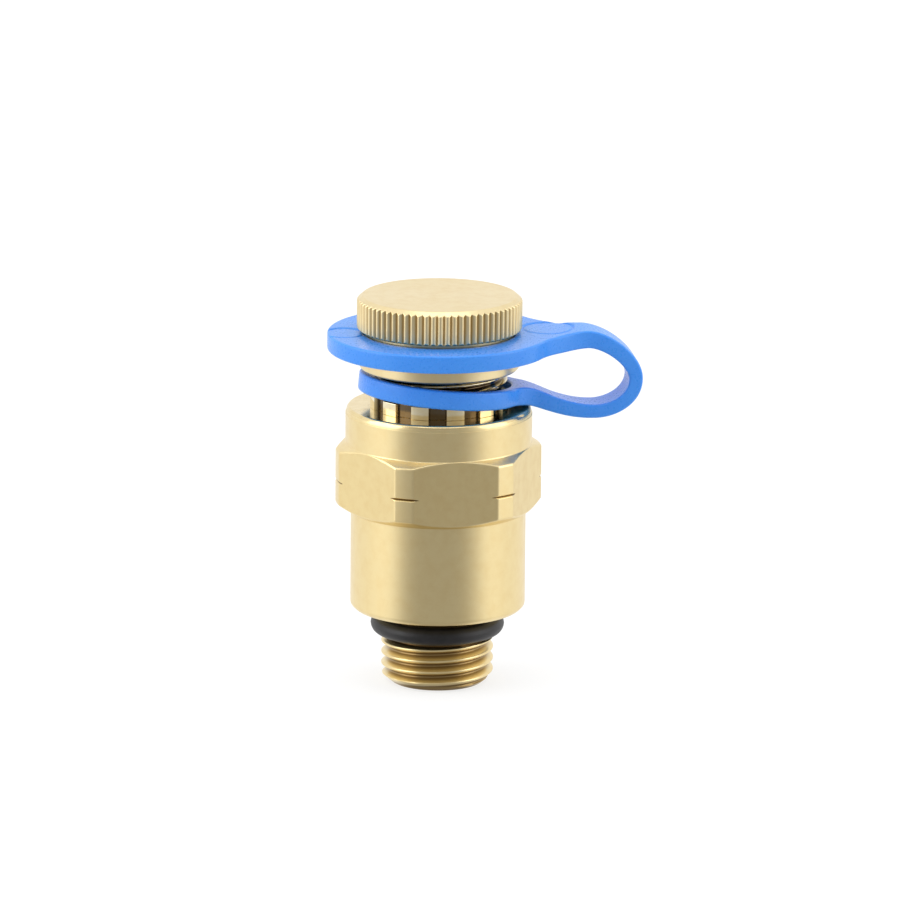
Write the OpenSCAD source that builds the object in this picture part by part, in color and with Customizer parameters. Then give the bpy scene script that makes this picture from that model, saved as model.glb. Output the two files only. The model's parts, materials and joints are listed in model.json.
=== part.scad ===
// Self-sealing pressure and temperature test plug, G 1/4, with a captive cap on a moulded strap.
// Millimetres, +Z up. The origin is the centre of the thread's end face.
// The strap's loop points along +X. The cap is screwed down on the needle guide.

/* [Pipe thread] */
// Major diameter of the male pipe thread
thread_d = 13.157; // [13.157:G 1/4]
// Height of the shoulder where the thread ends and the O-ring seat starts
thread_top = 5.36; // [4.6:0.02:5.6]
// Radius of the O-ring seat above the thread
seat_r = 5.63; // [5.5:0.01:5.65]
// Section diameter of the O-ring
o_ring_section = 2.2; // [2.0:0.05:2.3]
// Height of the middle of the O-ring
o_ring_z = 6.9; // [6.8:0.05:7.4]

/* [Body] */
// Diameter of the plain cylinder under the hexagon
barrel_d = 20.5; // [20:0.1:21]
// Height of the barrel's lower face
barrel_z0 = 8.96; // [8.8:0.02:9.2]
// Height of the hexagon's lower face
hex_z0 = 20.75; // [20.5:0.05:21.2]
// Height where the hexagon's upper chamfer meets the collar
hex_z1 = 28.83; // [28.5:0.03:29.1]
// Width of the hexagon across its flats
hex_flats = 22; // [22:22 mm spanner]
// Diameter to which the hexagon's corners are turned
hex_corners = 24.2; // [24:0.1:24.6]
// Angle of the first corner from the strap's direction, in degrees
hex_turn = 3.6; // [0:0.2:59.8]
// Height of the fine turned line round the corners
line_z = 24.46; // [23.5:0.02:25.5]
// Diameter of the collar above the hexagon
collar_d = 21.84; // [21.6:0.04:22]
// Height of the body's top face
body_top = 33.1; // [33:0.05:33.2]

/* [Inside the body] */
// Diameter of the inlet bore
inlet_d = 6; // [5:0.1:6.4]
// Diameter of the chamber that holds the seal cores
chamber_d = 12; // [11.8:0.1:12.2]
// Height of the chamber's floor
chamber_z0 = 12; // [11.5:0.1:13]
// Height of the lower seal core
lower_core_h = 4.5; // [4:0.1:4.6]
// Height of the spacer between the cores
spacer_h = 2; // [1.5:0.1:2]
// Height of the upper seal core
upper_core_h = 5.5; // [5:0.1:5.6]
// Height of the washer that the needle guide presses on
washer_h = 1; // [0.8:0.1:1]

/* [Needle guide] */
// Diameter of the threaded neck, M16 x 1
neck_d = 16; // [16:M16 x 1]
// Diameter of the plain foot below the neck's thread
foot_d = 16.2; // [16:0.05:16.3]
// Height of the plain foot above the body's top face
foot_h = 1.6; // [1.2:0.1:1.8]
// Number of notches in the foot that take a hook spanner
notch_count = 12; // [6:6:12]
// Angle of the first notch from the strap's direction, in degrees
notch_turn = 22; // [0:1:59]
// Height of the neck's top face
neck_top = 43.1; // [42.9:0.05:43.2]
// Diameter of the hole that guides the needle
needle_hole_d = 3.6; // [3.3:0.1:4]

/* [Cap] */
// Diameter over the knurl
cap_d = 19.3; // [19:0.1:19.6]
// Height of the cap's top face
cap_top = 46.3; // [46.2:0.05:46.6]
// Height of the knurled rim's lower face
cap_rim_z = 42.28; // [42.25:0.01:42.4]
// Diameter of the flange under the strap's ring
cap_flange_d = 18.7; // [18.5:0.1:18.9]
// Height of the cap's lower face
cap_z0 = 37.7; // [37.6:0.02:37.9]
// Diameter of the groove that the strap's ring sits in
cap_groove_d = 17.5; // [17.3:0.1:17.7]
// Thickness of the cap's gasket
gasket_h = 1.5; // [1.2:0.1:1.6]

/* [Strap] */
// Outer diameter of the ring round the cap
top_ring_d = 26.2; // [25.8:0.1:26.4]
// Height of that ring's lower face
top_ring_z = 39.85; // [39.85:0.01:39.9]
// Thickness of that ring
top_ring_h = 2.08; // [1.9:0.02:2.1]
// Outer diameter of the ring round the neck
foot_ring_d = 18.8; // [18.6:0.1:19]
// Height of that ring's middle on the axis
foot_ring_z = 35.35; // [35.3:0.01:35.4]
// Thickness of that ring
foot_ring_h = 2.2; // [2:0.05:2.25]
// Tilt of that ring, down towards the loop, in degrees
foot_ring_tilt = 5.4; // [5:0.1:5.6]
// Roll of that ring, up towards -Y, in degrees
foot_ring_roll = 2.6; // [2:0.1:2.8]
// Width of the strap round the loop
strap_w = 4.5; // [4:0.1:5]
// Radius that blends the strap into the ring round the cap
top_root_r = 9; // [8:0.5:10]
// Radius that blends the strap into the ring round the neck
foot_root_r = 4; // [3:0.5:5]

/* [Hidden] */

brass = "#D6C088";
bright_brass = "#E2D3A4";
rubber = "#2B2A2E";
blue = "#3F8CF0";

$fn = 96;
eps = 0.01;
gap = 0.02;
round_fn = 24;
step_count = 10;

// Thread end and barrel
lead_in = 1;
lead_in_r = 5.4;
inlet_chamfer = 0.4;
barrel_chamfer = 0.45;
hex_slope = tan(30);
hex_foot_r = 10.4;
line_depth = 0.25;
line_w = 0.36;
lip_h = 0.76;
lip_in = 0.45;
lip_step = 0.05;

// Needle guide and its socket
guide_d = 14;
socket_z0 = 25.5;
shank_z0 = 26;
core_gap = 0.05;
seat_cone = 1.3;
foot_round = 0.3;
neck_chamfer = 0.6;
notch_w = 2;
notch_depth = 0.5;
neck_relief_h = 1;
neck_relief_r = 7.3;
relief_slope_h = 0.7;

// Cap
cap_bore_gap = 0.12;
cap_face_r = 9;
rim_drop = 0.55;
rim_chamfer = 0.25;
flange_round = 0.6;
mouth_chamfer = 0.4;

// Strap rings
top_hole_gap = 0.15;
foot_hole_d = 16.6;
tip = 3;

core_z1 = chamber_z0 + lower_core_h;
spacer_z1 = core_z1 + spacer_h;
core_z2 = spacer_z1 + upper_core_h;
guide_z0 = core_z2 + washer_h;
washer_hole_d = needle_hole_d + 0.2;
core_d = chamber_d - 2 * core_gap;
cap_bore_d = neck_d + 2 * cap_bore_gap;
cap_ceiling = neck_top + gasket_h;
top_ring_mid = top_ring_z + top_ring_h / 2;
drop_per_mm = tan(foot_ring_tilt);
foot_root_x = foot_ring_d / 2;
foot_root_z = foot_ring_z - foot_root_x * drop_per_mm;

// Stations along the middle of the strap, seen from the side:
// x, z, direction in degrees, thickness, and fullness of the curve that leads on from it
stations = [
    [foot_root_x, foot_root_z, -foot_ring_tilt, foot_ring_h, 0.35],
    [13.2, 33.3, -19, 1.85, 0.35],
    [18.1, 32.4, 0, 1.6, 0.38],
    [22.95, 36.2, 90, 1.6, 0.3],
    [17.5, 41.25, 180, 2.1, 0.35],
    [13, top_ring_mid, 180, top_ring_h, 0.35]
];
tip_z = stations[tip][1];

// A ring's outline in plan with the strap leaving it along +X, its two inner corners filled with arcs.
// reach is how far from the axis the straight-sided strap starts.
module ring_plan(outer_r, root_r, length) {
    half = strap_w / 2;
    reach = sqrt(pow(outer_r + root_r, 2) - pow(half + root_r, 2));
    circle(r = outer_r);
    difference() {
        translate([0, -half - root_r]) square([reach, 2 * (half + root_r)]);
        for (side = [-1, 1])
            translate([reach, side * (half + root_r)]) circle(r = root_r);
        corner_cut(outer_r, half + root_r, reach);
    }
    translate([0, -half]) square([length, strap_w]);
}

// What lies outside the line between the ring's middle and each filling arc's middle
module corner_cut(outer_r, arc_y, reach) {
    far = 3 * outer_r;
    slope = arc_y / reach;
    for (side = [-1, 1])
        polygon([[0, 0], [far, side * far * slope], [0, side * far * slope]]);
}

// Point on a cubic curve between two stations
function curve_point(a, b, u) =
    let (reach = norm([b[0] - a[0], b[1] - a[1]]) * a[4])
    let (p0 = [a[0], a[1]])
    let (p1 = p0 + reach * [cos(a[2]), sin(a[2])])
    let (p3 = [b[0], b[1]])
    let (p2 = p3 - reach * [cos(b[2]), sin(b[2])])
    pow(1 - u, 3) * p0 + 3 * pow(1 - u, 2) * u * p1 + 3 * (1 - u) * u * u * p2 + pow(u, 3) * p3;

// Unit direction of that curve
function curve_heading(a, b, u) =
    let (d = 0.001)
    let (v = curve_point(a, b, min(1, u + d)) - curve_point(a, b, max(0, u - d)))
    v / norm(v);

// One long side of the strap between stations first and last; side is 1 or -1
function band_side(first, last, side) = [
    for (i = [first : last - 1])
        for (k = [(i == first ? 0 : 1) : step_count])
            let (u = k / step_count)
            let (a = stations[i])
            let (b = stations[i + 1])
            let (h = curve_heading(a, b, u))
            curve_point(a, b, u) + side * (a[3] + (b[3] - a[3]) * u) / 2 * [-h[1], h[0]]
];

function reversed(list) = [for (i = [len(list) - 1 : -1 : 0]) list[i]];

// Turns a side view in x and z into a solid of the given width along y
module side_extrude(width) {
    rotate([90, 0, 0]) linear_extrude(height = width, center = true) children();
}

module valve_body() {
    color(brass)
    difference() {
        union() {
            rotate_extrude() polygon(concat(
                [[0, 0], [lead_in_r, 0], [thread_d / 2, lead_in], [thread_d / 2, thread_top]],
                [[seat_r, thread_top], [seat_r, barrel_z0], [barrel_d / 2 - barrel_chamfer, barrel_z0]],
                [[barrel_d / 2, barrel_z0 + barrel_chamfer], [barrel_d / 2, hex_z1]],
                [[collar_d / 2, hex_z1], [collar_d / 2, body_top - lip_h]],
                [for (a = [0 : 15 : 90])
                    [collar_d / 2 - lip_step - lip_in * (1 - cos(a)), body_top - lip_h * (1 - sin(a))]],
                [[0, body_top]]
            ));
            hexagon();
        }
        translate([0, 0, -eps]) cylinder(d = inlet_d, h = chamber_z0 + 2 * eps);
        translate([0, 0, -eps])
            cylinder(r1 = inlet_d / 2 + inlet_chamfer, r2 = inlet_d / 2, h = inlet_chamfer);
        translate([0, 0, chamber_z0]) cylinder(d = chamber_d, h = body_top);
        translate([0, 0, socket_z0]) cylinder(d = guide_d, h = body_top);
    }
}

// Hexagon with turned corners, chamfers above and below and a fine line round its corners
module hexagon() {
    corner_r = hex_corners / 2;
    intersection() {
        translate([0, 0, hex_z0]) rotate([0, 0, hex_turn])
            cylinder(d = hex_flats / cos(30), h = hex_z1 - hex_z0, $fn = 6);
        rotate_extrude() polygon([
            [0, hex_z0],
            [hex_foot_r, hex_z0],
            [corner_r, hex_z0 + (corner_r - hex_foot_r) * hex_slope],
            [corner_r, line_z - line_w / 2],
            [corner_r - line_depth, line_z],
            [corner_r, line_z + line_w / 2],
            [corner_r, hex_z1 - (corner_r - collar_d / 2) * hex_slope],
            [collar_d / 2, hex_z1],
            [0, hex_z1]
        ]);
    }
}

module thread_o_ring() {
    middle_r = seat_r + gap + o_ring_section / 2;
    color(rubber)
        translate([0, 0, o_ring_z]) rotate_extrude()
            translate([middle_r, 0]) circle(d = o_ring_section, $fn = round_fn);
}

// Solid rubber core with eased edges, closed until a needle parts it
module seal_core(height) {
    ease = 0.4;
    color(rubber) rotate_extrude() polygon([
        [0, 0],
        [core_d / 2 - ease, 0],
        [core_d / 2, ease],
        [core_d / 2, height - ease],
        [core_d / 2 - ease, height],
        [0, height]
    ]);
}

// Flat brass ring inside the chamber
module chamber_ring(height) {
    color(brass) difference() {
        cylinder(d = core_d, h = height);
        translate([0, 0, -eps]) cylinder(d = washer_hole_d, h = height + 2 * eps);
    }
}

module lower_core() {
    translate([0, 0, chamber_z0]) seal_core(lower_core_h);
}

module core_spacer() {
    translate([0, 0, core_z1]) chamber_ring(spacer_h);
}

module upper_core() {
    translate([0, 0, spacer_z1]) seal_core(upper_core_h);
}

module thrust_washer() {
    translate([0, 0, core_z2]) chamber_ring(washer_h);
}

// Screwed into the body, it holds the cores, guides the needle and takes the cap's thread
module needle_guide() {
    shank_r = guide_d / 2 - gap;
    foot_top = body_top + foot_h;
    relief_top = foot_top + neck_relief_h;
    color(bright_brass) difference() {
        rotate_extrude() polygon(concat(
            [[0, guide_z0], [core_d / 2, guide_z0], [core_d / 2, shank_z0], [shank_r, shank_z0]],
            [[shank_r, body_top], [foot_d / 2, body_top]],
            [for (a = [0 : 30 : 90])
                [foot_d / 2 - foot_round * (1 - cos(a)), foot_top - foot_round * (1 - sin(a))]],
            [[neck_relief_r, foot_top], [neck_relief_r, relief_top]],
            [[neck_d / 2, relief_top + relief_slope_h], [neck_d / 2, neck_top - neck_chamfer]],
            [[neck_d / 2 - neck_chamfer, neck_top], [0, neck_top]]
        ));
        translate([0, 0, guide_z0 - eps]) cylinder(d = needle_hole_d, h = neck_top);
        translate([0, 0, neck_top - seat_cone])
            cylinder(r1 = needle_hole_d / 2, r2 = needle_hole_d / 2 + seat_cone, h = seat_cone + eps);
        foot_notches(foot_top);
    }
}

// Shallow upright notches round the needle guide's foot
module foot_notches(foot_top) {
    for (i = [0 : notch_count - 1])
        rotate([0, 0, notch_turn + i * 360 / notch_count])
            translate([foot_d / 2 - notch_depth, -notch_w / 2, body_top])
                cube([notch_w, notch_w, foot_top - body_top + eps]);
}

module cap_gasket() {
    color(rubber) translate([0, 0, neck_top]) cylinder(d = neck_d, h = gasket_h);
}

module cap() {
    groove_r = cap_groove_d / 2;
    flange_r = cap_flange_d / 2;
    rim_r = cap_d / 2;
    color(brass) difference() {
        rotate_extrude() polygon(concat(
            [[0, cap_z0], [flange_r - rim_chamfer, cap_z0], [flange_r, cap_z0 + rim_chamfer]],
            [for (a = [0 : 22.5 : 90])
                [flange_r - flange_round * (1 - cos(a)), top_ring_z - flange_round * (1 - sin(a))]],
            [[groove_r, top_ring_z], [groove_r, cap_rim_z], [rim_r - rim_chamfer, cap_rim_z]],
            [[rim_r, cap_rim_z + rim_chamfer], [rim_r, cap_top - rim_drop]],
            [[cap_face_r, cap_top], [0, cap_top]]
        ));
        translate([0, 0, cap_z0 - eps]) cylinder(d = cap_bore_d, h = cap_ceiling - cap_z0 + eps);
        translate([0, 0, cap_z0 - eps])
            cylinder(r1 = cap_bore_d / 2 + mouth_chamfer, r2 = cap_bore_d / 2, h = mouth_chamfer);
    }
}

// Ring round the cap and the upper half of the loop
module strap_top() {
    outer_r = top_ring_d / 2;
    color(blue) difference() {
        intersection() {
            linear_extrude(height = top_ring_z + 2 * top_ring_h)
                ring_plan(outer_r, top_root_r, 2 * outer_r);
            side_extrude(top_ring_d + 2) polygon(concat(
                [[-outer_r - 1, top_ring_z]],
                reversed(band_side(tip, len(stations) - 1, 1)),
                band_side(tip, len(stations) - 1, -1),
                [[-outer_r - 1, top_ring_z + top_ring_h]]
            ));
        }
        cylinder(d = cap_groove_d + 2 * top_hole_gap, h = cap_top);
    }
}

// Ring round the neck and the lower half of the loop, cut level where the upper half starts
module strap_foot() {
    color(blue) difference() {
        intersection() {
            translate([0, 0, foot_ring_z]) rotate([-foot_ring_roll, 0, 0])
                translate([0, 0, -foot_ring_z]) level_foot();
            translate([-top_ring_d, -top_ring_d]) cube([2 * top_ring_d, 2 * top_ring_d, tip_z]);
        }
        cylinder(d = foot_hole_d, h = cap_top);
    }
}

// The same ring and strap before they are rolled, with a short straight end above the cut
module level_foot() {
    outer_r = foot_ring_d / 2;
    back_x = -outer_r - 1;
    back_z = foot_ring_z - back_x * drop_per_mm;
    // Half the ring's thickness, measured straight up
    half_h = foot_ring_h / 2 / cos(foot_ring_tilt);
    tip_x = stations[tip][0];
    tip_half = stations[tip][3] / 2;
    end_z = tip_z + strap_w / 4;
    intersection() {
        linear_extrude(height = cap_top) ring_plan(outer_r, foot_root_r, top_ring_d);
        side_extrude(foot_ring_d + 2) polygon(concat(
            [[back_x, back_z + half_h], [back_x, back_z - half_h]],
            band_side(0, tip, -1),
            [[tip_x + tip_half, end_z], [tip_x - tip_half, end_z]],
            reversed(band_side(0, tip, 1))
        ));
    }
}

valve_body();
thread_o_ring();
lower_core();
core_spacer();
upper_core();
thrust_washer();
needle_guide();
cap_gasket();
cap();
strap_top();
strap_foot();
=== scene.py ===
"""Looks of a self-sealing pressure and temperature test plug with a captive cap on a moulded strap.

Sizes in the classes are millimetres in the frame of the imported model: +Z up, origin at the centre of the
thread's end face, strap loop towards +X. Meshes are written in metres.
"""

import json
import logging
import math
from dataclasses import dataclass
from enum import Enum
from functools import partial
from typing import Any, Callable, Mapping, Sequence

import bmesh
import bpy
import numpy as np
from mathutils import Matrix, Quaternion, Vector
from numpy.typing import NDArray

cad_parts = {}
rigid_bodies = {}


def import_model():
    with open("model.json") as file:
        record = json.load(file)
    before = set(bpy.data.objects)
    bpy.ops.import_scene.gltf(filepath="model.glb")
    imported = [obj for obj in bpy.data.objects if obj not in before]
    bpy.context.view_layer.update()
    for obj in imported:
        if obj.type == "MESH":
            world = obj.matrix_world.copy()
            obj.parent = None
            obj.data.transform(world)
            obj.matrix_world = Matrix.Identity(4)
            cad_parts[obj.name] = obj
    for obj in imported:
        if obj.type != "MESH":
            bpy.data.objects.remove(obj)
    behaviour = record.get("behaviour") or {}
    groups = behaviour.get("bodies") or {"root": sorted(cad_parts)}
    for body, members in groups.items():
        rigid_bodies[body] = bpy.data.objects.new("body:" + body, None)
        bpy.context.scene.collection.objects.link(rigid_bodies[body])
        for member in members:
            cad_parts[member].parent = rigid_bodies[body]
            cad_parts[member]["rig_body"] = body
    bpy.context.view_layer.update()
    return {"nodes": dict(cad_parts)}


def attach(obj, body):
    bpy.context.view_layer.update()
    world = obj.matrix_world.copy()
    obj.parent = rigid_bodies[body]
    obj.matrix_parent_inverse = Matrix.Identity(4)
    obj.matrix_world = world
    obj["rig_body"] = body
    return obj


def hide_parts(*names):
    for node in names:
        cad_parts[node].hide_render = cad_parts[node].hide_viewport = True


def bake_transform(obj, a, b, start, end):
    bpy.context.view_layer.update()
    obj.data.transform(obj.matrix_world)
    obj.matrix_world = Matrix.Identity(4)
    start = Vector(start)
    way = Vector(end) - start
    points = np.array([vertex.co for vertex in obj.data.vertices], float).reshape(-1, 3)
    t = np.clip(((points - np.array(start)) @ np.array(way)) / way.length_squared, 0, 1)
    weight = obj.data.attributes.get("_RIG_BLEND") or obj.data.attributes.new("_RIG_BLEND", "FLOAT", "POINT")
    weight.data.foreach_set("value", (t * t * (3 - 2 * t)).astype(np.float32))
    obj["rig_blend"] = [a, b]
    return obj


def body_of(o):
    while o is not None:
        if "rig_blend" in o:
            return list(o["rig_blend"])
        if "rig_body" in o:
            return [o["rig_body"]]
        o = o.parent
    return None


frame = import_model()

log = logging.getLogger("test_plug")

FloatArray = NDArray[np.float64]
IntArray = NDArray[np.int64]
AddNode = Callable[..., bpy.types.Node]

MM = 0.001
FULL_TURN = 2 * math.pi
# Points closer than this are one point of a mesh, in metres
WELD = 2e-6
# Edges that turn by more than this stay crisp in the shading, in degrees
CRISP_ANGLE = 38.0
# Attribute that holds how deep in a thread or knurl a vertex lies, from 0 on the crests to 1 at the bottom;
# the brass materials paint shade into hollows by it
HOLLOW = "hollow"

# Where dull patches and rougher metal start and are full in their noise, and painted shade in the hollow's
# depth
PATCH_RANGE = (0.4, 0.68)
ROUGH_RANGE = (0.15, 0.4)
HOLLOW_SHADE_RANGE = (0.15, 1.0)
# Scale of a drawn line's noise along the bar, per millimetre, so that the line runs on for 20 mm
DRAWN_RUN = 0.05

# Sockets of a colour Mix node
MIX_A = 6
MIX_B = 7
MIX_RESULT = 2


class Body(Enum):
    """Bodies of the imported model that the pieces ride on."""

    ROOT = "root"
    CAP = "cap"
    STRAP_HEAD = "strap_head"
    STRAP_TAIL = "strap_tail"


class Slot(Enum):
    """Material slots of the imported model's record."""

    BODY = "brass_body"
    CAP = "brass_cap"
    NECK = "brass_neck"
    RUBBER = "seal_rubber"
    STRAP = "strap_plastic"


class Rays(Enum):
    """Kinds of ray that the studio tells apart from the rays of matt surfaces."""

    CAMERA = "Is Camera Ray"
    GLOSSY = "Is Glossy Ray"
    TRANSMISSION = "Is Transmission Ray"


# ---- Shapes ----


@dataclass(frozen=True)
class Patch:
    """A grid of points, rows by columns by 3, and whether its columns close on themselves."""

    points: FloatArray
    wrap: bool = True


def grid_faces(rows: int, columns: int, first: int, wrap: bool) -> IntArray:
    """Four-cornered faces between the points of a grid.

    Face (i, j) has the corners (i, j), (i, j + 1), (i + 1, j + 1) and (i + 1, j).

    Args:
        rows: Rows of the grid.
        columns: Columns of the grid.
        first: Number of the grid's first point.
        wrap: Whether the last column is joined to the first.

    Returns:
        Point numbers, one row of four for each face.
    """
    number = first + np.arange(rows * columns).reshape(rows, columns)
    if wrap:
        number = np.concatenate([number, number[:, :1]], axis=1)
    corners = [number[:-1, :-1], number[:-1, 1:], number[1:, 1:], number[1:, :-1]]
    return np.stack(corners, axis=-1).reshape(-1, 4)


def make_piece(name: str, patches: Sequence[Patch]) -> bpy.types.Object:
    """Welds patches into one closed mesh whose faces point outwards.

    Args:
        name: Name of the object and its mesh.
        patches: Grids that share the points along their common edges.

    Returns:
        The object, at the origin.
    """
    points = np.concatenate([p.points.reshape(-1, 3) for p in patches]) * MM
    firsts = np.cumsum([0] + [p.points.size // 3 for p in patches])
    faces = np.concatenate(
        [grid_faces(*p.points.shape[:2], first, p.wrap) for p, first in zip(patches, firsts)]
    )
    mesh = bpy.data.meshes.new(name)
    mesh.vertices.add(len(points))
    mesh.vertices.foreach_set("co", points.ravel())
    mesh.loops.add(faces.size)
    mesh.loops.foreach_set("vertex_index", faces.ravel().astype(np.int32))
    mesh.polygons.add(len(faces))
    mesh.polygons.foreach_set("loop_start", np.arange(0, faces.size, 4, dtype=np.int32))
    mesh.update(calc_edges=True)

    shell = bmesh.new()
    shell.from_mesh(mesh)
    bmesh.ops.remove_doubles(shell, verts=shell.verts, dist=WELD)
    bmesh.ops.dissolve_degenerate(shell, edges=shell.edges, dist=WELD / 2)
    bmesh.ops.recalc_face_normals(shell, faces=shell.faces)
    shell.to_mesh(mesh)
    shell.free()
    mesh.shade_smooth()
    mesh.set_sharp_from_angle(angle=math.radians(CRISP_ANGLE))

    piece = bpy.data.objects.new(name, mesh)
    bpy.context.scene.collection.objects.link(piece)
    return piece


def report(piece: bpy.types.Object, rides: str) -> None:
    """Logs a finished piece: its faces, whether it is closed, and the body that it rides.

    Args:
        piece: The finished object.
        rides: Name of its body or bodies.
    """
    shell = bmesh.new()
    shell.from_mesh(piece.data)
    open_edges = sum(not e.is_manifold for e in shell.edges)
    volume = shell.calc_volume(signed=True) / MM**3
    triangles = sum(len(f.verts) - 2 for f in shell.faces)
    shell.free()
    size = f"{triangles} triangles, {open_edges} open edges, {volume:.0f} mm3"
    log.info("%s on %s: %s", piece.name, rides, size)


def vertices_of(piece: bpy.types.Object) -> FloatArray:
    """Vertex positions of a piece in millimetres, one row of three for each."""
    flat = np.empty(len(piece.data.vertices) * 3)
    piece.data.vertices.foreach_get("co", flat)
    return flat.reshape(-1, 3) / MM


def set_hollow(piece: bpy.types.Object, depth: FloatArray) -> None:
    """Stores how deep each vertex lies in a thread or knurl.

    Args:
        piece: The finished object.
        depth: One value for each vertex, 0 on the crests and 1 at the bottom.
    """
    attribute = piece.data.attributes.new(HOLLOW, "FLOAT", "POINT")
    attribute.data.foreach_set("value", np.clip(depth, 0, 1).astype(np.float32))


def smooth_min(a: FloatArray, b: FloatArray, reach: float) -> FloatArray:
    """The lesser of two values, blended where they are close.

    It is the minimum less the square of what is left of reach after their difference, over four reaches.

    Args:
        a: First values.
        b: Second values.
        reach: Difference below which the two blend.

    Returns:
        The blended minimum.
    """
    close = np.maximum(reach - np.abs(a - b), 0)
    return np.minimum(a, b) - close**2 / (4 * reach)


def smooth_step(value: FloatArray, start: float, end: float) -> FloatArray:
    """A ramp from 0 at start to 1 at end that is level at both: three t squared less two t cubed."""
    t = np.clip((value - start) / (end - start), 0, 1)
    return t * t * (3 - 2 * t)


def soften(path: FloatArray, rounding: Sequence[float], steps: int = 3) -> FloatArray:
    """Rounds the corners of a profile.

    A corner becomes the curve corner + cut * ((1 - u)^2 * back + u^2 * on), where back and on point to the
    corners before and after it and u runs from 0 to 1. The cut is the rounding, or 0.35 of the shorter
    side where that is less. A point 1.3 cuts away on each side keeps the flats beyond it flat in the shading.

    Args:
        path: Corners as (corner, column, 2).
        rounding: Rounding of each corner; 0 leaves it sharp.
        steps: Pieces that each rounding is made of.

    Returns:
        The rounded profile as (point, column, 2).
    """
    back = np.concatenate([path[:1], path[:-1]]) - path
    ahead = np.concatenate([path[1:], path[-1:]]) - path
    back_length = np.linalg.norm(back, axis=2)
    ahead_length = np.linalg.norm(ahead, axis=2)
    shortest = np.minimum(back_length, ahead_length)
    cut = np.minimum(np.asarray(rounding, float)[:, None], 0.35 * shortest)
    back = back / np.maximum(back_length, 1e-9)[..., None]
    ahead = ahead / np.maximum(ahead_length, 1e-9)[..., None]
    u = np.linspace(0, 1, steps + 1)
    toward_back = np.concatenate([[1.3], (1 - u) ** 2, [0]])[None, :, None, None]
    toward_ahead = np.concatenate([[0], u**2, [1.3]])[None, :, None, None]
    offset = toward_back * back[:, None] + toward_ahead * ahead[:, None]
    points = path[:, None] + cut[:, None, :, None] * offset
    return points.reshape(-1, path.shape[1], 2)


def turned_path(corners: Sequence[tuple[Any, Any, float]], columns: int) -> FloatArray:
    """A turned profile through rounded corners, spread over the columns.

    Args:
        corners: Radius, height and rounding of each corner. Radius and height are each one number or an
            array with a value per column.
        columns: Number of columns.

    Returns:
        Radius and height as (point, column, 2).
    """
    spread = [[np.broadcast_to(value, (columns,)) for value in corner[:2]] for corner in corners]
    path = np.array(spread, dtype=float).transpose(0, 2, 1)
    return soften(path, [rounding for _, _, rounding in corners])


def revolve(profile: FloatArray, angles: FloatArray) -> FloatArray:
    """Turns a profile round Z: a point of radius r and height z goes to (r cos a, r sin a, z).

    Args:
        profile: Radius and height as (row, column, 2).
        angles: Angle of each column in radians.

    Returns:
        Points as (row, column, 3).
    """
    radius, height = profile[..., 0], profile[..., 1]
    return np.stack([radius * np.cos(angles), radius * np.sin(angles), height], axis=-1)


@dataclass(frozen=True)
class ThreadForm:
    """A right-hand screw thread, as the radius of its surface at any angle and height."""

    pitch: float
    crest_r: float
    root_r: float
    # Angle between a flank and the plane across the axis' normal, half the thread angle
    half_angle: float
    # Height of a crest at angle zero
    phase_z: float
    # Radius over which crest and root blend into the flanks
    rounding: float
    # How far the flanks are moved outwards, for the play of an inner thread
    play: float = 0.0

    def radius(self, angle: FloatArray, height: FloatArray) -> FloatArray:
        """Radius of the thread's surface.

        With d the distance along the axis from the nearest crest, the flank's radius is the mean radius
        plus (pitch / 4 - d) over the tangent of the half angle, cut off smoothly at crest and root.

        Args:
            angle: Angles round the axis in radians.
            height: Heights along the axis.

        Returns:
            Radii, in the shape that angle and height broadcast to.
        """
        turns = (height - self.phase_z) / self.pitch - angle / FULL_TURN
        distance = np.abs(turns - np.round(turns)) * self.pitch
        middle = (self.crest_r + self.root_r) / 2 + self.play
        flank = middle + (self.pitch / 4 - distance) / math.tan(math.radians(self.half_angle))
        crested = smooth_min(flank, np.full_like(flank, self.crest_r), self.rounding)
        return -smooth_min(-crested, np.full_like(flank, -self.root_r), self.rounding)


# ---- Materials ----


def linear(code: str) -> tuple[float, float, float, float]:
    """Turns an sRGB hex code into linear colour.

    Each channel c becomes c / 12.92 up to 0.04045 and ((c + 0.055) / 1.055) to the power 2.4 above.

    Args:
        code: Colour such as "#C0A060".

    Returns:
        Red, green, blue and an alpha of 1.
    """
    channels = [int(code[i : i + 2], 16) / 255 for i in (1, 3, 5)]
    values = [c / 12.92 if c <= 0.04045 else ((c + 0.055) / 1.055) ** 2.4 for c in channels]
    return (values[0], values[1], values[2], 1.0)


def add_node(
    tree: bpy.types.NodeTree, kind: str, inputs: Mapping[Any, Any] | None = None, **settings: Any
) -> bpy.types.Node:
    """Adds a node with its settings and links.

    Args:
        tree: Node tree that gets the node.
        kind: Blender's name of the node type, without the ShaderNode before it.
        inputs: Value or output socket for each input, by name or number.
        **settings: Properties of the node.

    Returns:
        The new node.
    """
    node = tree.nodes.new(f"ShaderNode{kind}")
    for name, value in settings.items():
        setattr(node, name, value)
    for key, value in (inputs or {}).items():
        if isinstance(value, bpy.types.NodeSocket):
            tree.links.new(value, node.inputs[key])
        else:
            node.inputs[key].default_value = value
    return node


def new_material(name: str) -> tuple[bpy.types.Material, AddNode]:
    """A material with an empty node tree, and what adds nodes to that tree."""
    material = bpy.data.materials.new(name)
    material.use_nodes = True
    material.node_tree.nodes.clear()
    return material, partial(add_node, material.node_tree)


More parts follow.
